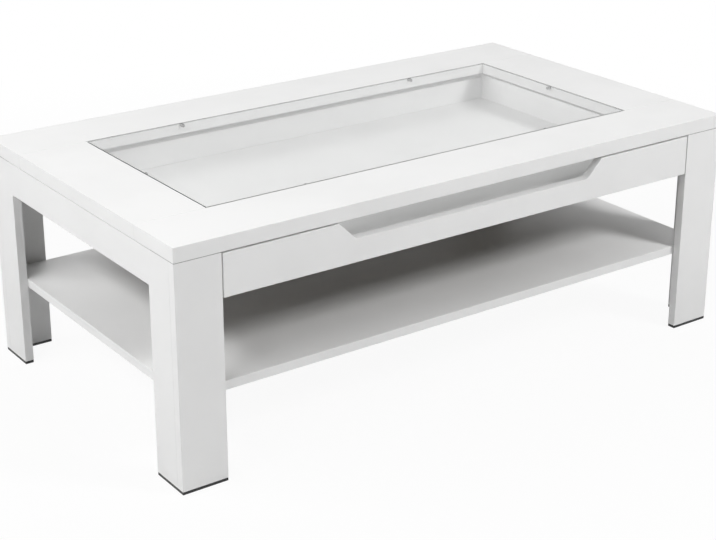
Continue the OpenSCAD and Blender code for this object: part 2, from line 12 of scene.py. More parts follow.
import bpy
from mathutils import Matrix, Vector

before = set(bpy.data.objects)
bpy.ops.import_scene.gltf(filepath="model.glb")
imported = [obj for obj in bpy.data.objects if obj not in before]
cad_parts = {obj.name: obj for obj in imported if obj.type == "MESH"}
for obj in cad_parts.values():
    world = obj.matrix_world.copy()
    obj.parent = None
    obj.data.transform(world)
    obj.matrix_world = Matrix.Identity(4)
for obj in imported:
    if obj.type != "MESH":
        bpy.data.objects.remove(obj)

LOG = logging.getLogger("coffee_table")

Colour = tuple[float, float, float]
Span = tuple[float, float]
Socket = bpy.types.NodeSocket
Value = Socket | float | tuple[float, ...]

# A millimetre in metres
MM = 0.001
WHITE: Colour = (1.0, 1.0, 1.0)
UNIT: Span = (0.0, 1.0)


class Axis(Enum):
    """The three axes, by the names of the sockets that a split vector has."""

    X = "X"
    Y = "Y"
    Z = "Z"


class Mixed(Enum):
    """What a Mix node mixes, by Blender's name of it."""

    NUMBER = "FLOAT"
    COLOUR = "RGBA"


# Node trees


def rgba(colour: Colour, share: float = 1.0) -> tuple[float, float, float, float]:
    """Return a colour with full opacity, times a share and at most 1 in each part."""
    red, green, blue = (min(part * share, 1.0) for part in colour)
    return red, green, blue, 1.0


class Tree:
    """A small helper that adds nodes to a tree and links them."""

    def __init__(self, tree: bpy.types.NodeTree) -> None:
        """Hold the tree.

        Args:
            tree: The node tree to fill.
        """
        self.tree = tree

    def add(
        self, kind: str, links: dict[str, Value] | None = None, **settings: object
    ) -> bpy.types.Node:
        """Add a node.

        Args:
            kind: Blender's name of the node type.
            links: Input name to a socket, a number or a tuple.
            settings: Attributes of the node.

        Returns:
            The new node.
        """
        node = self.tree.nodes.new(kind)
        for name, value in settings.items():
            setattr(node, name, value)
        self.fill(node, links or {})
        return node

    def fill(self, node: bpy.types.Node, links: dict[str, Value]) -> None:
        """Feed several inputs of a node by their names."""
        for name, value in links.items():
            self.feed(node.inputs[name], value)

    def feed(self, target: Socket, value: Value) -> None:
        """Link a socket to an input, or set the input's value."""
        if isinstance(value, Socket):
            self.tree.links.new(value, target)
        else:
            target.default_value = value

    def math(
        self, operation: str, first: Value, second: Value = 0.0, clamp: bool = False
    ) -> Socket:
        """Add a Math node.

        Args:
            operation: Blender's name of the operation.
            first: A socket or a number.
            second: A socket or a number.
            clamp: Keep the result between 0 and 1.

        Returns:
            The result's socket.
        """
        node = self.add("ShaderNodeMath", operation=operation, use_clamp=clamp)
        self.feed(node.inputs[0], first)
        self.feed(node.inputs[1], second)
        return node.outputs[0]

    def ramp(self, value: Socket, taken: Span = UNIT, given: Span = UNIT) -> Socket:
        """Map a value smoothly from one range to another.

        Args:
            value: The socket to map.
            taken: The values that give the two ends of the result.
            given: The result's two ends, which it doesn't pass.

        Returns:
            The result's socket.
        """
        links = {
            "Value": value,
            "From Min": taken[0],
            "From Max": taken[1],
            "To Min": given[0],
            "To Max": given[1],
        }
        node = self.add("ShaderNodeMapRange", links, interpolation_type="SMOOTHSTEP")
        return node.outputs["Result"]

    def noise(self, where: Socket, scale: Value, detail: float = 2.0, rough: float = 0.5) -> Socket:
        """Add a noise of a given scale and return its value."""
        links = {"Vector": where, "Scale": scale, "Detail": detail, "Roughness": rough}
        return self.add("ShaderNodeTexNoise", links).outputs["Fac"]

    def blend(
        self, factor: Value, first: Value, second: Value, mixed: Mixed = Mixed.COLOUR
    ) -> Socket:
        """Mix two colours or two numbers.

        Args:
            factor: A socket or a number from 0 to 1.
            first: What it gives at 0.
            second: What it gives at 1.
            mixed: What is mixed.

        Returns:
            The result's socket.
        """
        links = {"Factor": factor, "A": first, "B": second}
        return self.add("ShaderNodeMix", links, data_type=mixed.value).outputs["Result"]

    def mix_shaders(self, share: Value, first: Socket, second: Socket) -> Socket:
        """Mix two shaders: the first at a share of 0, and the second at 1."""
        node = self.add("ShaderNodeMixShader", {"Fac": share})
        self.feed(node.inputs[1], first)
        self.feed(node.inputs[2], second)
        return node.outputs["Shader"]

    def bump(self, height: Socket, strength: float, depth: float) -> Socket:
        """Turn a height into a bent normal.

        Args:
            height: The height, from 0 to 1.
            strength: How strongly it shows, from 0 to 1.
            depth: The height's full depth in millimetres.

        Returns:
            The normal's socket.
        """
        links = {"Height": height, "Strength": strength, "Distance": depth * MM}
        return self.add("ShaderNodeBump", links).outputs["Normal"]

    def split(self, vector: Socket) -> dict[Axis, Socket]:
        """Split a vector into its part along each axis."""
        outputs = self.add("ShaderNodeSeparateXYZ", {"Vector": vector}).outputs
        return {axis: outputs[axis.value] for axis in Axis}

    def where(self) -> Socket:
        """Return the place on the object, in the object's own metres."""
        return self.add("ShaderNodeTexCoord").outputs["Object"]

    def up(self) -> Socket:
        """Tell how far a face looks up: 1 upwards, 0 sideways and -1 downwards."""
        return self.split(self.add("ShaderNodeTexCoord").outputs["Normal"])[Axis.Z]


def empty_material(name: str) -> tuple[bpy.types.Material, Tree]:
    """Make a material whose node tree is empty.

    Args:
        name: The material's name.

    Returns:
        The material and its tree's helper.
    """
    made = bpy.data.materials.new(name)
    made.use_nodes = True
    made.node_tree.nodes.clear()
    return made, Tree(made.node_tree)


class Effect(Enum):
    """The shader node groups that several finishes share."""

    ARRIS = "arris"
    SKIN = "sprayed skin"
    GRAIN = "long grain"
    PLATING = "plated metal"
    SEAM = "seams of the top"


@dataclass
class Effects:
    """Builds each shared node group once.

    A span gives the values of a pattern between which its mask goes from 0 to 1.

    Attributes:
        arris_lean: How far a face leans from the axes where the arris mask is full.
        peel_detail: Detail of the orange peel.
        peel_share: Share of the peel in the gloss.
        cloud_detail: Detail of the slow clouds.
        speck_scale: Scale of the specks on the peel.
        speck_detail: Detail of the specks.
        speck_share: Share of the specks in the height.
        tint_span: Span of the slow tint.
        gloss_span: Span of the cloudy gloss.
        grain_pinch: Scale along the grain, as a share of that across it.
        grain_detail: Detail of the grain.
        grain_span: Span of the grain.
        pore_scale: Scale of the pores.
        pore_rough: Roughness of the noise of the pores.
        pore_span: Span of the pores.
        streak_pinch: Scale along the streaks, as a share of that across them.
        streak_detail: Detail of the streaks.
        spot_span: Span of the spots.
        seam_height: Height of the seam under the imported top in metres.
        seam_reach: How far a seam's mask reaches in metres.
        seam_gain: Gain of the seam's mask. At 2 the mask is full in the middle half of its reach.
        opening_half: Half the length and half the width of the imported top's opening in metres.
        made: The groups made so far.
    """

    arris_lean: float = 0.15
    peel_detail: float = 1.5
    peel_share: float = 0.35
    cloud_detail: float = 3.0
    speck_scale: float = 2600.0
    speck_detail: float = 1.0
    speck_share: float = 0.15
    tint_span: Span = (0.35, 0.65)
    gloss_span: Span = (0.4, 0.95)
    grain_pinch: float = 0.06
    grain_detail: float = 5.0
    grain_span: Span = (0.3, 0.7)
    pore_scale: float = 900.0
    pore_rough: float = 0.7
    pore_span: Span = (0.55, 0.7)
    streak_pinch: float = 0.03
    streak_detail: float = 3.0
    spot_span: Span = (0.0, 0.7)
    seam_height: float = 0.385
    seam_reach: float = 1.2 * MM
    seam_gain: float = 2.0
    opening_half: Span = (0.448, 0.205)
    made: dict[Effect, bpy.types.ShaderNodeTree] = field(default_factory=dict)

    def group(self, effect: Effect) -> bpy.types.ShaderNodeTree:
        """Return a group, and build it on first use.

        Args:
            effect: The effect that the group gives.

        Returns:
            The node group.
        """
        if effect not in self.made:
            build = {
                Effect.ARRIS: self._arris,
                Effect.SKIN: self._skin,
                Effect.GRAIN: self._grain,
                Effect.PLATING: self._plating,
                Effect.SEAM: self._seam,
            }[effect]
            self.made[effect] = build(effect.value)
        return self.made[effect]

    @staticmethod
    def _new(
        name: str, inputs: dict[str, float], outputs: tuple[str, ...]
    ) -> tuple[Tree, dict[str, Socket]]:
        """Make a group with its sockets.

        Args:
            name: The group's name.
            inputs: Names of float inputs and their values.
            outputs: Names of float outputs.

        Returns:
            The tree's helper, and the inputs' sockets by name.
        """
        tree = bpy.data.node_groups.new(name, "ShaderNodeTree")
        for socket, value in inputs.items():
            made = tree.interface.new_socket(socket, in_out="INPUT", socket_type="NodeSocketFloat")
            made.default_value = value
        for socket in outputs:
            tree.interface.new_socket(socket, in_out="OUTPUT", socket_type="NodeSocketFloat")
        helper = Tree(tree)
        source = helper.add("NodeGroupInput")
        return helper, {socket: source.outputs[socket] for socket in inputs}

    def _arris(self, name: str) -> bpy.types.ShaderNodeTree:
        """Build the mask of rounded arrises: 1 where a face leans away from the three axes.

        Args:
            name: The group's name.

        Returns:
            The node group.
        """
        tree, given = self._new(name, {"Lean": self.arris_lean}, ("Mask",))
        normal = tree.add("ShaderNodeNewGeometry").outputs["Normal"]
        along = [tree.math("ABSOLUTE", part) for part in tree.split(normal).values()]
        largest = tree.math("MAXIMUM", tree.math("MAXIMUM", along[0], along[1]), along[2])
        lean = tree.math("SUBTRACT", 1.0, largest)
        scaled = tree.math("DIVIDE", lean, given["Lean"])
        tree.add("NodeGroupOutput", {"Mask": tree.math("MINIMUM", scaled, 1.0, clamp=True)})
        return tree.tree

    def _skin(self, name: str) -> bpy.types.ShaderNodeTree:
        """Build a sprayed or moulded skin: a slow tint, cloudy gloss and a fine orange peel.

        Args:
            name: The group's name.

        Returns:
            The node group.
        """
        tree, given = self._new(name, {"Peel": 900.0, "Cloud": 6.0}, ("Tint", "Gloss", "Height"))
        where = tree.where()
        peel = tree.noise(where, given["Peel"], self.peel_detail)
        cloud = tree.noise(where, given["Cloud"], self.cloud_detail)
        specks = tree.noise(where, self.speck_scale, self.speck_detail)
        gloss = tree.math("ADD", cloud, tree.math("MULTIPLY", peel, self.peel_share))
        links = {
            "Tint": tree.ramp(cloud, self.tint_span),
            "Gloss": tree.ramp(gloss, self.gloss_span),
            "Height": tree.math("ADD", peel, tree.math("MULTIPLY", specks, self.speck_share)),
        }
        tree.add("NodeGroupOutput", links)
        return tree.tree

    def _grain(self, name: str) -> bpy.types.ShaderNodeTree:
        """Build wood grain that runs along the object's X axis.

        Args:
            name: The group's name.

        Returns:
            The node group.
        """
        tree, given = self._new(name, {"Scale": 60.0}, ("Grain", "Pores"))
        pinch = {"Vector": tree.where(), "Scale": (self.grain_pinch, 1.0, 1.0)}
        drawn = tree.add("ShaderNodeMapping", pinch).outputs["Vector"]
        grain = tree.noise(drawn, given["Scale"], self.grain_detail)
        pores = tree.noise(drawn, self.pore_scale, rough=self.pore_rough)
        links = {
            "Grain": tree.ramp(grain, self.grain_span),
            "Pores": tree.ramp(pores, self.pore_span),
        }
        tree.add("NodeGroupOutput", links)
        return tree.tree

    def _plating(self, name: str) -> bpy.types.ShaderNodeTree:
        """Build metal that was rolled and plated: fine streaks along Y, and cloudy spots.

        Args:
            name: The group's name.

        Returns:
            The node group.
        """
        inputs = {"Scale": 700.0, "Spot Scale": 120.0}
        tree, given = self._new(name, inputs, ("Streaks", "Spots"))
        where = tree.where()
        pinch = {"Vector": where, "Scale": (1.0, self.streak_pinch, 1.0)}
        drawn = tree.add("ShaderNodeMapping", pinch).outputs["Vector"]
        spots = tree.add("ShaderNodeTexVoronoi", {"Vector": where, "Scale": given["Spot Scale"]})
        links = {
            "Streaks": tree.noise(drawn, given["Scale"], self.streak_detail),
            "Spots": tree.ramp(spots.outputs["Distance"], self.spot_span),
        }
        tree.add("NodeGroupOutput", links)
        return tree.tree

    def _seam(self, name: str) -> bpy.types.ShaderNodeTree:
        """Build the masks of the seam under the top and of the edge round the glass.

        Seam is 1 at the object's Z of Height, and 0 from Reach away. Opening is 1 in the opening
        and up to Reach outside its edges, which lie Half X and Half Y from the middle, and 0
        beyond. Times the mask of the arrises, it marks the opening's rounded edges. All inputs
        are in metres. The lacquer paints shade on the arrises where these masks are full.

        Args:
            name: The group's name.

        Returns:
            The node group.
        """
        inputs = {
            "Height": self.seam_height,
            "Reach": self.seam_reach,
            "Half X": self.opening_half[0],
            "Half Y": self.opening_half[1],
        }
        tree, given = self._new(name, inputs, ("Seam", "Opening"))
        place = tree.split(tree.where())
        off = tree.math("ABSOLUTE", tree.math("SUBTRACT", place[Axis.Z], given["Height"]))
        share = tree.math("SUBTRACT", 1.0, tree.math("DIVIDE", off, given["Reach"]), clamp=True)
        beyond = [
            tree.math("SUBTRACT", tree.math("ABSOLUTE", place[axis]), given[half])
            for axis, half in ((Axis.X, "Half X"), (Axis.Y, "Half Y"))
        ]
        links = {
            "Seam": tree.math("MULTIPLY", share, self.seam_gain, clamp=True),
            "Opening": tree.math("LESS_THAN", tree.math("MAXIMUM", *beyond), given["Reach"]),
        }
        tree.add("NodeGroupOutput", links)
        return tree.tree


EFFECTS = Effects()


# Finishes


@dataclass(frozen=True)
class Finish:
    """What every finish has: a name and a base colour in scene light."""

    name: str
    colour: Colour

    def material(self) -> bpy.types.Material:
        """Return the finish's material, and build it on first use.

        Returns:
            The material.
        """
        found = bpy.data.materials.get(self.name)
        if found:
            return found
        made, tree = empty_material(self.name)
        made.diffuse_color = rgba(self.colour)
        shader = tree.add("ShaderNodeBsdfPrincipled")
        tree.fill(shader, self._inputs(tree))
        surface = self._surface(tree, shader.outputs["BSDF"])
        tree.add("ShaderNodeOutputMaterial", {"Surface": surface})
        return made

    def _inputs(self, tree: Tree) -> dict[str, Value]:
        """Give the shader's inputs. Each finish has its own way.

        Args:
            tree: The material's tree.

        Returns:
            The inputs' names, and what each one gets.
        """
        raise NotImplementedError

    def _surface(self, tree: Tree, shaded: Socket) -> Socket:
        """Return what the material shows: the shader as it is, if a finish doesn't change it."""
        return shaded

    @staticmethod
    def _effect(tree: Tree, effect: Effect, **values: float) -> dict[str, Socket]:
        """Place a shared group in a material.

        Args:
            tree: The material's tree.
            effect: The group to place.
            values: Its inputs, with spaces written as underscores.

        Returns:
            The group's outputs by name.
        """
        node = tree.add("ShaderNodeGroup", node_tree=EFFECTS.group(effect))
        tree.fill(node, {name.replace("_", " "): value for name, value in values.items()})
        return {socket.name: socket for socket in node.outputs}


@dataclass(frozen=True)
class LacquerFinish(Finish):
    """Sprayed or laminated white board: even and satin, with a faint peel, and painted shade in the
    seams of the top and round the glass.

    Attributes:
        rough: Roughness where it is glossiest and where it is dullest.
        specular: Level of its mirrored light.
        shade: Share of the colour where the slow tint is full.
        edge_shade: Share of the colour on an arris.
        painted_seam_shade: Share of the colour on an arris in a seam of the top or round the glass,
            as painted shade.
        peel: Scale of the orange peel.
        peel_depth: Depth of the orange peel in millimetres.
        peel_strength: How strongly the orange peel shows.
    """

    rough: Span = (0.30, 0.40)
    specular: float = 0.22
    shade: float = 0.975
    edge_shade: float = 0.95
    # Painted shade on the arrises in the seams of the top and round the glass
    painted_seam_shade: float = 0.35
    peel: float = 900.0
    peel_depth: float = 0.02
    peel_strength: float = 0.25

    def _inputs(self, tree: Tree) -> dict[str, Value]:
        """Give the lacquer's inputs.

        Args:
            tree: The material's tree.

        Returns:
            The inputs' names, and what each one gets.
        """
        skin = self._effect(tree, Effect.SKIN, Peel=self.peel)
        arris = self._effect(tree, Effect.ARRIS)["Mask"]
        seams = self._effect(tree, Effect.SEAM)
        face = tree.blend(skin["Tint"], rgba(self.colour), rgba(self.colour, self.shade))
        edged = tree.blend(arris, face, rgba(self.colour, self.edge_shade))
        # Painted shade: arrises in the seam under the top and round the glass get a darker colour
        near = tree.math("MAXIMUM", seams["Seam"], seams["Opening"])
        shaded_seam = tree.math("MULTIPLY", near, arris)
        return {
            "Base Color": tree.blend(shaded_seam, edged, rgba(self.colour, self.painted_seam_shade)),
            "Roughness": tree.ramp(skin["Gloss"], given=self.rough),
            "Normal": tree.bump(skin["Height"], self.peel_strength, self.peel_depth),
            "Specular IOR Level": self.specular,
        }


@dataclass(frozen=True)
class HardboardFinish(Finish):
    """Thin hardboard: white laminate on its upper face, and the bare brown fibre elsewhere.

    Attributes:
        shade: Share of the laminate's colour where the slow tint is full.
        satin: Roughness of the laminate where it is glossiest and where it is dullest.
        fibre: Colour of the fibre.
        fibre_shade: Share of the fibre's colour where the grain is full.
        fibre_scale: Scale of the fibre's grain.
        fibre_rough: Roughness of the fibre at the two ends of its grain.
        fleck: Colour of the flecks in the fibre.
        fleck_share: How strongly the flecks show.
        up_from: How far up a face looks from which it has the laminate.
        peel: Scale of the orange peel.
        peel_depth: Depth of the orange peel in millimetres.
        peel_strength: How strongly the orange peel shows.
    """

    shade: float = 0.975
    satin: Span = (0.38, 0.48)
    fibre: Colour = (0.225, 0.205, 0.180)
    fibre_shade: float = 0.85
    fibre_scale: float = 500.0
    fibre_rough: Span = (0.75, 0.9)
    fleck: Colour = (0.14, 0.125, 0.105)
    fleck_share: float = 0.8
    up_from: float = 0.5
    peel: float = 1600.0
    peel_depth: float = 0.03
    peel_strength: float = 0.3

    def _inputs(self, tree: Tree) -> dict[str, Value]:
        """Give the hardboard's inputs.

        Args:
            tree: The material's tree.

        Returns:
            The inputs' names, and what each one gets.
        """
        skin = self._effect(tree, Effect.SKIN, Peel=self.peel)
        grain = self._effect(tree, Effect.GRAIN, Scale=self.fibre_scale)
        white = tree.blend(skin["Tint"], rgba(self.colour), rgba(self.colour, self.shade))
        brown = tree.blend(grain["Grain"], rgba(self.fibre), rgba(self.fibre, self.fibre_shade))
        flecks = tree.math("MULTIPLY", grain["Pores"], self.fleck_share)
        flecked = tree.blend(flecks, brown, rgba(self.fleck))
        above = tree.math("GREATER_THAN", tree.up(), self.up_from)
        matt = tree.ramp(grain["Grain"], given=self.fibre_rough)
        satin = tree.ramp(skin["Gloss"], given=self.satin)
        return {
            "Base Color": tree.blend(above, flecked, white),
            "Roughness": tree.blend(above, matt, satin, Mixed.NUMBER),
            "Normal": tree.bump(skin["Height"], self.peel_strength, self.peel_depth),
        }


@dataclass(frozen=True)
class MetalFinish(Finish):
    """Plated or cast metal with streaks, spots and brighter arrises.

    Attributes:
        rough: Roughness at the two ends of the streaks.
        dark: Share of the colour in the middle of a spot.
        bright: Share of the colour on an arris, over 1.
        streaks: Scale of the streaks.
        streak_span: Values of the streaks between which the roughness changes.
        streak_depth: Depth of the streaks in millimetres.
        streak_strength: How strongly the streaks show.
        spots: Scale of the spots.
    """

    rough: Span = (0.25, 0.42)
    dark: float = 0.8
    bright: float = 1.12
    streaks: float = 700.0
    streak_span: Span = (0.3, 0.7)
    streak_depth: float = 0.02
    streak_strength: float = 0.2
    spots: float = 120.0

    def _inputs(self, tree: Tree) -> dict[str, Value]:
        """Give the metal's inputs.

        Args:
            tree: The material's tree.

        Returns:
            The inputs' names, and what each one gets.
        """
        plating = self._effect(tree, Effect.PLATING, Scale=self.streaks, Spot_Scale=self.spots)
        arris = self._effect(tree, Effect.ARRIS)["Mask"]
        face = tree.blend(plating["Spots"], rgba(self.colour, self.dark), rgba(self.colour))
        return {
            "Base Color": tree.blend(arris, face, rgba(self.colour, self.bright)),
            "Roughness": tree.ramp(plating["Streaks"], self.streak_span, self.rough),
            "Normal": tree.bump(plating["Streaks"], self.streak_strength, self.streak_depth),
            "Metallic": 1.0,
        }


@dataclass(frozen=True)
class PlasticFinish(Finish):
    """Moulded plastic with a fine skin and rubbed arrises.

    Attributes:
        rough: Roughness where it is glossiest and where it is dullest.
        shade: Share of the colour where the slow tint is full.
        edge_lift: How much lighter an arris is.
        cloud: Scale of the slow clouds.
        peel: Scale of the fine skin.
        peel_depth: Depth of the fine skin in millimetres.
        peel_strength: How strongly the fine skin shows.
    """

    rough: Span = (0.4, 0.6)
    shade: float = 0.85
    edge_lift: float = 0.02
    cloud: float = 30.0
    peel: float = 1500.0
    peel_depth: float = 0.03
    peel_strength: float = 0.4

    def _inputs(self, tree: Tree) -> dict[str, Value]:
        """Give the plastic's inputs.

        Args:
            tree: The material's tree.

        Returns:
            The inputs' names, and what each one gets.
        """
        skin = self._effect(tree, Effect.SKIN, Peel=self.peel, Cloud=self.cloud)
        arris = self._effect(tree, Effect.ARRIS)["Mask"]
        face = tree.blend(skin["Tint"], rgba(self.colour), rgba(self.colour, self.shade))
        red, green, blue = (part + self.edge_lift for part in self.colour)
        return {
            "Base Color": tree.blend(arris, face, rgba((red, green, blue))),
            "Roughness": tree.ramp(skin["Gloss"], given=self.rough),
            "Normal": tree.bump(skin["Height"], self.peel_strength, self.peel_depth),
        }


@dataclass(frozen=True)
class BeechFinish(Finish):
    """Bare beech with short flecks along its grain.

    Attributes:
        rough: Roughness at the two ends of the grain.
        shade: Share of the colour where the grain is full.
        fleck: Colour of the flecks.
        fleck_share: How strongly the flecks show.
        grain_depth: Depth of the grain in millimetres.
        grain_strength: How strongly the grain shows.
    """

    rough: Span = (0.55, 0.75)
    shade: float = 0.8
    fleck: Colour = (0.42, 0.25, 0.12)
    fleck_share: float = 0.6
    grain_depth: float = 0.1
    grain_strength: float = 0.4

    def _inputs(self, tree: Tree) -> dict[str, Value]:
        """Give the wood's inputs.

        Args:
            tree: The material's tree.

        Returns:
            The inputs' names, and what each one gets.
        """
        grain = self._effect(tree, Effect.GRAIN)
        face = tree.blend(grain["Grain"], rgba(self.colour), rgba(self.colour, self.shade))
        flecks = tree.math("MULTIPLY", grain["Pores"], self.fleck_share)
        return {
            "Base Color": tree.blend(flecks, face, rgba(self.fleck)),
            "Roughness": tree.ramp(grain["Grain"], given=self.rough),
            "Normal": tree.bump(grain["Grain"], self.grain_strength, self.grain_depth),
        }


@dataclass(frozen=True)
class GlassFinish(Finish):
    """Clear safety glass with faint smears and ground edges. Lamps shine through it.

    Attributes:
        ior: How strongly it bends light.
        passed: Colour of the light that it lets through from lamps.
        shade: Share of the colour where the slow tint is full.
        ground_colour: Colour of the ground edges.
        ground_rough: Roughness of the ground edges.
        ground_below: How far up or down a face looks below which it is a ground edge.
        smear_rough: Roughness of a full smear.
        smear_span: Values of the gloss between which a smear grows.
        cloud: Scale of the smears.
        peel: Scale of the fine marks in the smears.
    """

    ior: float = 1.52
    passed: Colour = (0.94, 0.943, 0.942)
    shade: float = 0.985
    ground_colour: Colour = (0.35, 0.38, 0.37)
    ground_rough: float = 0.6
    ground_below: float = 0.9
    smear_rough: float = 0.012
    smear_span: Span = (0.5, 1.0)
    cloud: float = 9.0
    peel: float = 400.0

    def _inputs(self, tree: Tree) -> dict[str, Value]:
        """Give the glass's inputs.

        Args:
            tree: The material's tree.

        Returns:
            The inputs' names, and what each one gets.
        """
        skin = self._effect(tree, Effect.SKIN, Peel=self.peel, Cloud=self.cloud)
        edge = tree.math("LESS_THAN", tree.math("ABSOLUTE", tree.up()), self.ground_below)
        face = tree.blend(skin["Tint"], rgba(self.colour), rgba(self.colour, self.shade))
        smear = tree.ramp(skin["Gloss"], self.smear_span, (0.0, self.smear_rough))
        frosted = tree.math("MULTIPLY", edge, self.ground_rough)
        return {
            "Base Color": tree.blend(edge, face, rgba(self.ground_colour)),
            "Roughness": tree.math("ADD", smear, frosted, clamp=True),
            "Transmission Weight": 1.0,
            "IOR": self.ior,
        }

    def _surface(self, tree: Tree, shaded: Socket) -> Socket:
        """Let the light of the lamps and of matt faces through unbent.

        Args:
            tree: The material's tree.
            shaded: The shader's output.

        Returns:
            What the material shows.
        """
        path = tree.add("ShaderNodeLightPath").outputs
        clear = tree.add("ShaderNodeBsdfTransparent", {"Color": rgba(self.passed)}).outputs["BSDF"]
        lit = tree.mix_shaders(path["Is Shadow Ray"], shaded, clear)
        return tree.mix_shaders(path["Is Diffuse Ray"], lit, clear)


LACQUER = LacquerFinish("satin white lacquer", (0.80, 0.80, 0.797))
HARDBOARD = HardboardFinish("laminated hardboard", (0.79, 0.79, 0.785))
POWDER_COAT = LacquerFinish(
    "white powder coat", (0.80, 0.80, 0.79), rough=(0.35, 0.5), peel=1400.0, peel_depth=0.05
)
PANE_GLASS = GlassFinish("clear safety glass", (0.992, 0.995, 0.994))
ZINC_PLATE = MetalFinish("bright zinc plate", (0.70, 0.71, 0.73))
CAST_ZINC = MetalFinish(
    "cast zinc", (0.42, 0.42, 0.43), rough=(0.4, 0.6), streaks=300.0, spots=400.0
)
PIN_BLACK = PlasticFinish("satin black pin", (0.09, 0.09, 0.09), rough=(0.3, 0.45))
GLIDE_BLACK = PlasticFinish("matt black glide", (0.012, 0.012, 0.012))
NYLON = PlasticFinish("natural nylon", (0.76, 0.76, 0.72), rough=(0.28, 0.42), edge_lift=0.05)
BEECH = BeechFinish("bare beech", (0.60, 0.42, 0.25))


# Pieces


@dataclass
class Dresser:
    """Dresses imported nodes: a rounded arris and a finish on each.

    Attributes:
        arris: Radius of a board's arris in metres.
        fine: Radius of an arris on small metal and plastic in metres.
        segments: Steps round an arris that shows.
        few: Steps round an arris of an inner piece.
        weld: Distance in metres within which points become one.
        flat: Degrees between two faces up to which they count as one flat face.
        sharp: Degrees between two faces from which the edge between them is rounded.
    """

    arris: float = 0.8 * MM
    fine: float = 0.2 * MM
    segments: int = 3
    few: int = 2
    weld: float = 0.002 * MM
    flat: float = 0.5
    sharp: float = 40.0

    def dress(
        self, names: tuple[str, ...], finish: Finish, radius: float, segments: int | None = None
    ) -> None:
        """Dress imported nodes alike.

        Args:
            names: The nodes' names.
            finish: The finish that they get.
            radius: The radius of their arrises in metres, or 0 to leave them.
            segments: Steps round an arris, if not the usual number.
        """
        for name in names:
            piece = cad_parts[name]
            piece.data.materials.clear()
            piece.data.materials.append(finish.material())
            if radius > 0:
                self._round_arrises(piece, radius, segments or self.segments)
            LOG.info("dressed %s in %s", name, finish.name)

    def _round_arrises(self, piece: bpy.types.Object, radius: float, segments: int) -> None:
        """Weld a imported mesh, and round its sharp arrises.

        Args:
            piece: The object.
            radius: The arris radius in metres.
            segments: Steps round an arris.
        """
        weld = piece.modifiers.new("weld", "WELD")
        weld.merge_threshold = self.weld
        flat = piece.modifiers.new("flat faces", "DECIMATE")
        flat.decimate_type = "DISSOLVE"
        flat.angle_limit = math.radians(self.flat)
        bevel = piece.modifiers.new("arris", "BEVEL")
        bevel.width = radius
        bevel.segments = segments
        bevel.limit_method = "ANGLE"
        bevel.angle_limit = math.radians(self.sharp)
        bevel.harden_normals = True
        bevel.use_clamp_overlap = False
        bevel.loop_slide = False
        bevel.miter_outer = "MITER_ARC"


@dataclass
class Assembly:
    """What every sub-assembly has: the dresser of its pieces."""

    dresser: Dresser

    def build(self) -> None:
        """Dress the pieces. Each sub-assembly has its own way."""
        raise NotImplementedError


@dataclass
class Top(Assembly):
    """The four boards round the glass, the pane and its pins."""

    boards: tuple[str, ...] = (
        "top_front_board",
        "top_back_board",
        "top_left_board",
        "top_right_board",
    )
    pane_arris: float = 0.25 * MM

    def build(self) -> None:
        """Dress the top."""
        self.dresser.dress(self.boards, LACQUER, self.dresser.arris)
        self.dresser.dress(("glass_pane",), PANE_GLASS, self.pane_arris)
        self.dresser.dress(("glass_pins",), PIN_BLACK, self.dresser.fine)


@dataclass
class Carcass(Assembly):
    """The side panels, leg boards, apron, shelf, runner boards and glides."""

    boards: tuple[str, ...] = (
        "side_panel_left",
        "side_panel_right",
        "leg_board_front_left",
        "leg_board_front_right",
        "leg_board_back_left",
        "leg_board_back_right",
        "back_apron",
        "shelf",
        "runner_board_left",
        "runner_board_right",
    )

    def build(self) -> None:
        """Dress the carcass."""
        self.dresser.dress(self.boards, LACQUER, self.dresser.arris)
        self.dresser.dress(("leg_glides",), GLIDE_BLACK, self.dresser.fine)


@dataclass
class Fittings(Assembly):
    """The brackets, screws, dowels, cams and cam bolts."""

    plated: tuple[str, ...] = (
        "top_brackets",
        "bracket_screws",
        "frame_cam_bolts",
        "cabinet_runner_screws",
        "drawer_runner_screws",
        "drawer_cam_bolts",
        "drawer_back_screws",
        "drawer_bottom_screws",
    )
    cast: tuple[str, ...] = ("frame_cams", "drawer_cams")
    wooden: tuple[str, ...] = ("frame_dowels", "drawer_dowels")

    def build(self) -> None:
        """Dress the fittings."""
        self.dresser.dress(self.plated, ZINC_PLATE, self.dresser.fine, self.dresser.few)
        self.dresser.dress(self.cast, CAST_ZINC, self.dresser.fine, self.dresser.few)
        self.dresser.dress(self.wooden, BEECH, self.dresser.arris, self.dresser.few)


@dataclass
class Runners(Assembly):
    """The steel runners and their nylon rollers."""

    steel: tuple[str, ...] = (
        "cabinet_runner_left",
        "cabinet_runner_right",
        "drawer_runner_left",
        "drawer_runner_right",
    )
    rollers: tuple[str, ...] = (
        "cabinet_roller_left",
        "cabinet_roller_right",
        "drawer_roller_left",
        "drawer_roller_right",
    )
    arris: float = 0.3 * MM

    def build(self) -> None:
        """Dress the runners and rollers."""
        self.dresser.dress(self.steel, POWDER_COAT, self.arris, self.dresser.few)
        self.dresser.dress(self.rollers, NYLON, self.arris, self.dresser.few)


@dataclass
class Drawer(Assembly):
    """The drawer's front, sides, back and bottom."""

    boards: tuple[str, ...] = (
        "drawer_front",
        "drawer_side_left",
        "drawer_side_right",
        "drawer_back",
    )

    def build(self) -> None:
        """Dress the drawer."""
        self.dresser.dress(self.boards, LACQUER, self.dresser.arris)
        self.dresser.dress(("drawer_bottom",), HARDBOARD, 0.0)


# Stage, lamps and camera


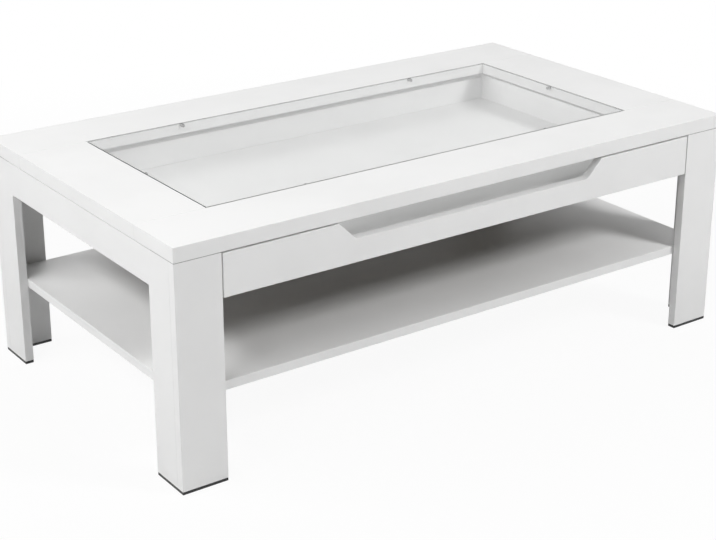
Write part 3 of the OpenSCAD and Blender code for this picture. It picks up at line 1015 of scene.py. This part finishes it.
@dataclass
class Stage:
    """The pale floor and the white surround.

    Attributes:
        half_width: Half the floor's width in metres.
        floor_colour: The floor's colour.
        near_lift: Share of plain white in the floor near the table.
        near: Distance in metres up to which the floor has that share.
        far: Distance in metres from which the floor is plain white.
        ambient: Strength of the even light that the surround sheds.
    """

    half_width: float = 30.0
    floor_colour: Colour = (0.78, 0.78, 0.78)
    near_lift: float = 0.93
    near: float = 0.9
    far: float = 2.0
    ambient: float = 0.055

    def build(self) -> None:
        """Lay the floor and set the world."""
        self._floor()
        self._world()

    def _floor(self) -> None:
        """Lay a pale floor that fades to white, keeps the soft shadow and is clear from below."""
        mesh = bpy.data.meshes.new("floor")
        reach = self.half_width
        ends = [(x * reach, y * reach, 0.0) for x, y in ((-1, -1), (1, -1), (1, 1), (-1, 1))]
        mesh.from_pydata(ends, [], [(0, 1, 2, 3)])
        floor = bpy.data.objects.new("floor", mesh)
        bpy.context.collection.objects.link(floor)
        made, tree = empty_material("pale floor")
        matt = tree.add("ShaderNodeBsdfDiffuse", {"Color": rgba(self.floor_colour)}).outputs["BSDF"]
        white = tree.add("ShaderNodeEmission", {"Color": rgba(WHITE), "Strength": 1.0})
        away = tree.add("ShaderNodeVectorMath", {"Vector": tree.where()}, operation="LENGTH")
        lift = tree.ramp(away.outputs["Value"], (self.near, self.far), (self.near_lift, 1.0))
        share = tree.math("MULTIPLY", self._shown(tree), lift)
        pale = tree.mix_shaders(share, matt, white.outputs["Emission"])
        below = tree.add("ShaderNodeNewGeometry").outputs["Backfacing"]
        clear = tree.add("ShaderNodeBsdfTransparent").outputs["BSDF"]
        tree.add("ShaderNodeOutputMaterial", {"Surface": tree.mix_shaders(below, pale, clear)})
        mesh.materials.append(made)

    @staticmethod
    def _shown(tree: Tree) -> Socket:
        """Tell whether a ray shows the background: straight, by a gloss, or through glass.

        Args:
            tree: The tree that asks.

        Returns:
            A socket that is 1 for such a ray, and 0 for one that only lights the object.
        """
        # The depth counts meetings with matt faces, so below a half means none yet
        none_yet = 0.5
        path = tree.add("ShaderNodeLightPath").outputs
        unlit = tree.math("LESS_THAN", path["Diffuse Depth"], none_yet)
        bent = tree.math("MAXIMUM", path["Is Glossy Ray"], path["Is Transmission Ray"])
        return tree.math("MAXIMUM", path["Is Camera Ray"], tree.math("MULTIPLY", bent, unlit))

    def _world(self) -> None:
        """Make the surround plain white to the eye, and a soft even light on the object."""
        world = bpy.data.worlds.new("surround")
        bpy.context.scene.world = world
        world.use_nodes = True
        world.node_tree.nodes.clear()
        tree = Tree(world.node_tree)
        extra = tree.math("MULTIPLY", self._shown(tree), 1.0 - self.ambient)
        strength = tree.math("ADD", extra, self.ambient)
        light = tree.add("ShaderNodeBackground", {"Color": rgba(WHITE), "Strength": strength})
        tree.add("ShaderNodeOutputWorld", {"Surface": light.outputs["Background"]})


@dataclass(frozen=True)
class Lamp:
    """A soft rectangular lamp that looks at the table and isn't mirrored in the glass.

    Attributes:
        name: The lamp's name.
        azimuth: Degrees from the front towards the right where it hangs.
        elevation: Degrees above its target.
        distance: Metres from its target.
        width: Its width in metres.
        height: Its height in metres.
        watts: Its power.
    """

    name: str
    azimuth: float
    elevation: float
    distance: float
    width: float
    height: float
    watts: float

    def build(self, target: Vector) -> None:
        """Hang the lamp.

        Args:
            target: The point that it looks at.
        """
        data = bpy.data.lights.new(self.name, "AREA")
        data.shape = "RECTANGLE"
        data.size = self.width
        data.size_y = self.height
        data.energy = self.watts
        turn, rise = math.radians(self.azimuth), math.radians(self.elevation)
        level = math.cos(rise)
        away = Vector((math.sin(turn) * level, -math.cos(turn) * level, math.sin(rise)))
        lamp = bpy.data.objects.new(self.name, data)
        bpy.context.collection.objects.link(lamp)
        lamp.location = target + away * self.distance
        lamp.rotation_mode = "QUATERNION"
        lamp.rotation_quaternion = (-away).to_track_quat("-Z", "Y")
        lamp.visible_glossy = False
        lamp.visible_transmission = False


@dataclass
class Studio:
    """The lamps round the table.

    Attributes:
        target: The point in metres that the lamps look at.
        lamps: The lamps.
    """

    target: tuple[float, float, float] = (0.0, 0.0, 0.25)
    lamps: tuple[Lamp, ...] = (
        Lamp(
            "front softbox",
            azimuth=28.0,
            elevation=36.0,
            distance=3.5,
            width=0.7,
            height=0.75,
            watts=68.0,
        ),
        Lamp(
            "side strip",
            azimuth=-90.0,
            elevation=39.0,
            distance=3.0,
            width=3.5,
            height=0.55,
            watts=76.0,
        ),
        Lamp(
            "rear softbox",
            azimuth=140.0,
            elevation=42.0,
            distance=3.2,
            width=2.4,
            height=1.8,
            watts=36.0,
        ),
    )

    def build(self) -> None:
        """Hang every lamp."""
        for lamp in self.lamps:
            lamp.build(Vector(self.target))


@dataclass(frozen=True)
class Viewpoint:
    """The camera of the photograph.

    Attributes:
        place: The camera's place in metres.
        azimuth: Degrees that it looks to the right of +Y.
        drop: Degrees that it looks down.
        lens_px: The focal length in pixels of the frame.
        centre_y: The pixel row of the frame where it looks straight ahead.
        frame_px: The frame's width and height in pixels.
        sensor: The sensor's width in millimetres.
        clip: Nearest and farthest distance that it sees, in metres.
    """

    place: tuple[float, float, float] = (-1.6244, -2.2579, 1.2768)
    azimuth: float = 35.530
    drop: float = 20.652
    lens_px: float = 1618.0
    centre_y: float = 220.0
    frame_px: tuple[int, int] = (716, 540)
    sensor: float = 36.0
    clip: Span = (0.05, 200.0)

    def build(self) -> None:
        """Set up the camera."""
        width, height = self.frame_px
        data = bpy.data.cameras.new("viewpoint")
        data.sensor_width = self.sensor
        data.sensor_fit = "HORIZONTAL"
        data.lens = self.lens_px / width * self.sensor
        data.shift_y = (self.centre_y - height / 2) / width
        data.clip_start, data.clip_end = self.clip
        camera = bpy.data.objects.new("viewpoint", data)
        bpy.context.collection.objects.link(camera)
        camera.location = self.place
        camera.rotation_euler = (math.radians(90 - self.drop), 0.0, -math.radians(self.azimuth))
        bpy.context.scene.camera = camera


def main() -> None:
    """Build the looks in order, and log each sub-assembly as it is built."""
    logging.basicConfig(level=logging.INFO, format="%(name)s: %(message)s")
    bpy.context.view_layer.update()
    bpy.context.scene.view_settings.view_transform = "Standard"
    dresser = Dresser()
    for assembly in (Top, Carcass, Fittings, Runners, Drawer):
        assembly(dresser).build()
        LOG.info("built %s", assembly.__name__)
    Stage().build()
    Studio().build()
    Viewpoint().build()


if __name__ == "__main__":
    main()
